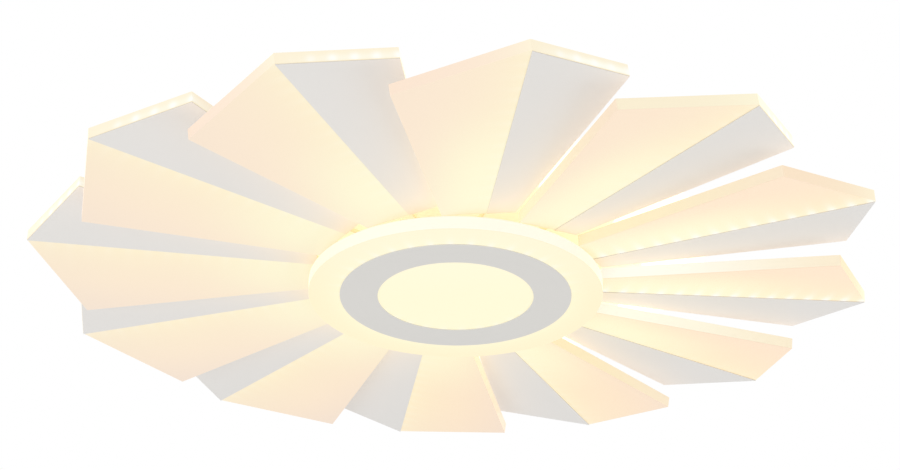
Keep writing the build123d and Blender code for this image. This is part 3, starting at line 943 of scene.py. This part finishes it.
bolts_low, bolts_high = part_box("ceiling_bolts")
bolt_x = bolts_high.x - hex_reach / cos(pi / 6)
shank_top = bolts_high.z - head_height
thread_count = int((shank_top - bolts_low.z) / thread_step) - 2
thread_levels = [shank_top - thread_step * (i + 1) for i in range(thread_count)]
bolt_profile = [(0, bolts_high.z)] + cone_steps(bolts_high.z, -1) + [(six_sided(), shank_top)]
bolt_profile += [(thread(level), level) for level in thread_levels]
bolt_profile += [(bolt_end_reach, bolts_low.z), (0, bolts_low.z)]
bolt = turned(bolt_profile)
bolts = gathered([moved(bolt, at(side * bolt_x, 0, 0)) for side in (-1, 1)])
bolt_piece = add_piece("threaded_bolts", bolts, zinc, "lamp")
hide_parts("ceiling_bolts")

# %% Closed nuts
nuts_low, nuts_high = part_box("cap_nuts")
dome_height = 4.0 * millimetre
dome_reach = 3.5 * millimetre
dome_wall = 2.0 * millimetre
mouth_depth = 0.4 * millimetre
mouth_reach = 2.9 * millimetre
hex_low = nuts_low.z + dome_height
bore_end = nuts_low.z + dome_wall
dome_angles = [pi / 2 * i / 8 for i in range(9)]
nut_profile = [(0, bore_end), (bolt_reach, bore_end)]
nut_profile += [(bolt_reach, nuts_high.z - mouth_depth), (mouth_reach, nuts_high.z)]
nut_profile += cone_steps(nuts_high.z, -1) + list(reversed(cone_steps(hex_low, 1)))
for angle in dome_angles:
    nut_profile.append((dome_reach * cos(angle), hex_low - dome_height * sin(angle)))
nut = turned(nut_profile)
nuts = gathered([moved(nut, at(side * bolt_x, 0, 0)) for side in (-1, 1)])
nut_piece = add_piece("domed_nuts", nuts, chrome, "lamp")
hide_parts("cap_nuts")

# %% [markdown]
# ## Terminal block and driver
# The terminal block takes the supply. Each of its three poles is a brass cage in the block's
# mouth, with a slotted screw at each end that stands in a short collar. The driver is a sealed
# plastic case: a lid on top with four screws, and a tapered rubber sleeve where each lead enters.
# All of them have depth that shows from the side, so each is a small mesh of its own.

# %% Screw heads
def slotted_head(reach, height, slot_width, slot_depth):
    """A round head: a disc below, and two half discs above with the slot between them."""
    slot_floor = height - slot_depth
    start = slot_width / 2 / reach
    angles = [start + (pi - 2 * start) * i / 16 for i in range(17)]
    outline = [(reach * cos(angle), reach * sin(angle)) for angle in angles]
    base = turned([(0, 0), (reach, 0), (reach, slot_floor), (0, slot_floor)])
    half = prism(outline, slot_floor, height)
    return gathered([base, half, moved(half, at(0, 0, 0, pi))])


terminal_low, terminal_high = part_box("terminal_block")
terminal_x = (terminal_low.x + terminal_high.x) / 2
poles = (-1, 0, 1)
pole_pitch = 11 * millimetre
screw_offset = 5.5 * millimetre
screw_places = []
for pole in poles:
    for side in (-1, 1):
        x = terminal_x + side * screw_offset
        slot_turn = 0.6 * pole + 0.9 * side
        screw_places.append(at(x, pole * pole_pitch, terminal_high.z, slot_turn))
head = slotted_head(1.9 * millimetre, 0.9 * millimetre, 0.5 * millimetre, 0.4 * millimetre)
screws = gathered([moved(head, place) for place in screw_places])
add_piece("terminal_screws", screws, zinc, "lamp")

collar_steps = [(2.3, 0), (2.3, 1.1), (2.5, 1.3), (3.0, 1.3), (3.2, 1.1), (3.2, 0)]
collar = turned(in_millimetres(collar_steps), closed=True)
collars = gathered([moved(collar, place) for place in screw_places])
add_piece("terminal_collars", collars, terminal_plastic, "lamp")

# %% Brass cages
cage_half_width = 1.4 * millimetre
cage_half_height = 2.0 * millimetre
cage_wall = 0.3 * millimetre
cage_setback = 0.3 * millimetre
mouth_level = terminal_low.z + (terminal_high.z - terminal_low.z) / 2
cage_ends = (terminal_low.x + cage_setback, terminal_high.x - cage_setback)
brass = plated("brass", (0.78, 0.62, 0.32), (0.66, 0.50, 0.24), 0.22)


def cage(y):
    """A rectangular tube along X, open at both ends."""
    points, faces = [], []
    for x in cage_ends:
        for wall in (0, cage_wall):
            half_width = cage_half_width - wall
            half_height = cage_half_height - wall
            for side, rise in square_signs:
                points.append(Vector((x, y + side * half_width, mouth_level + rise * half_height)))
    for i in range(4):
        j = (i + 1) % 4
        faces += [(i, j, 8 + j, 8 + i), (4 + i, 12 + i, 12 + j, 4 + j)]
        faces += [(i, 4 + i, 4 + j, j), (8 + i, 8 + j, 12 + j, 12 + i)]
    return points, faces


cages = gathered([cage(pole * pole_pitch) for pole in poles])
add_piece("terminal_cages", cages, brass, "lamp")

# %% Driver lid and screws
driver_low, driver_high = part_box("led_driver")
case_half = 65 * millimetre
case_y = (driver_low.y + driver_high.y) / 2
case_side = (driver_high.y - driver_low.y) / 2
corner_cut = 5 * millimetre
lid_setback = 1.2 * millimetre
lid_height = 0.8 * millimetre
lid_top = driver_high.z + lid_height
lid_screw_x = 57 * millimetre
lid_screw_y = 18 * millimetre


def lid_outline(setback):
    """The case's outline, drawn in by the setback."""
    x = case_half - setback
    y = case_side - setback
    cut = corner_cut - 0.6 * setback
    half = [(x, -y + cut), (x, y - cut), (x - cut, y), (-x + cut, y)]
    return half + [(-x, -y) for x, y in half]


lid = moved(prism(lid_outline(lid_setback), 0, lid_height), at(0, case_y, driver_high.z))
add_piece("driver_lid", lid, driver_plastic, "lamp", edge=0.3 * millimetre)
lid_head = slotted_head(2.4 * millimetre, 1.2 * millimetre, 0.6 * millimetre, 0.5 * millimetre)
lid_screws = []
for side in (-1, 1):
    for end in (-1, 1):
        place = at(side * lid_screw_x, case_y + end * lid_screw_y, lid_top, side + 2 * end)
        lid_screws.append(moved(lid_head, place))
add_piece("driver_screws", gathered(lid_screws), zinc, "lamp", edge=0.1 * millimetre)

# %% Sleeves of the driver's leads
sleeve_end = 8.6
sleeve_bore = (2.0, 1.2)
sleeve_steps = [(4.6, 3.8, 0), (4.6, 3.8, 1.2), (3.6, 2.8, 1.6), (3.2, 2.4, 4), (2.7, 1.9, 8)]
sleeve_steps += [(2.2, 1.4, sleeve_end), (*sleeve_bore, sleeve_end), (*sleeve_bore, 0)]
lead_level = (driver_low.z + driver_high.z) / 2


def oval(half_height, half_width):
    """The radius of an ellipse at each angle."""

    def radius(angle):
        stretch = (cos(angle) / half_height) ** 2 + (sin(angle) / half_width) ** 2
        return millimetre / sqrt(stretch)

    return radius


sleeve_profile = [(oval(high, wide), level * millimetre) for high, wide, level in sleeve_steps]
sleeve = turned(sleeve_profile, closed=True)
sleeves = []
for side in (-1, 1):
    lay_down = Matrix.Rotation(side * pi / 2, 4, "Y")
    sleeves.append(moved(sleeve, at(side * case_half, case_y, lead_level) @ lay_down))
add_piece("driver_sleeves", gathered(sleeves), rubber, "lamp")

# %% [markdown]
# ## Junction hub
# The leads of all blades meet in the moulded hub under the middle of the round plate. Each plug
# is held by a small spring latch on the hub's underside, and a raised collar rounds the middle
# socket that the disc's plug enters. Both show when the disc is taken down. One latch is enough:
# it is set out twelve times, each turned to its own blade.

# %% Latches and collar
hub_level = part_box("junction_hub")[0].z
pocket_turn = radians(-4)
latch_side = 2.4 * millimetre
latch_steps = [(40, 0), (49.6, 0), (49.6, -1.1), (48.2, -1.1), (46.8, -0.5), (40.6, -0.5)]
stand_up = Matrix.Rotation(pi / 2, 4, "X")
latch = moved(prism(in_millimetres(latch_steps), -latch_side, latch_side), stand_up)
latches = []
for number in blade_numbers:
    outward = blade_frame(number)[1]
    turn = pocket_turn - Vector((1, 0)).angle_signed(outward.xy.normalized())
    latches.append(moved(latch, at(0, 0, hub_level, turn)))
latch_edge = 0.2 * millimetre
add_piece("hub_latches", gathered(latches), hub_plastic, "lamp", edge=latch_edge)

socket_steps = [(9.2, 0), (9.2, -0.7), (9.5, -0.9), (11.2, -0.9), (11.6, -0.5), (11.6, 0)]
socket_collar = turned(in_millimetres(socket_steps), around=60, closed=True)
socket_collar = moved(socket_collar, at(0, 0, hub_level))
add_piece("hub_collar", socket_collar, hub_plastic, "lamp")

# %% [markdown]
# ## Close the scene
# The colours go to the picture unchanged.

# %% Finish
bpy.context.scene.view_settings.view_transform = "Standard"
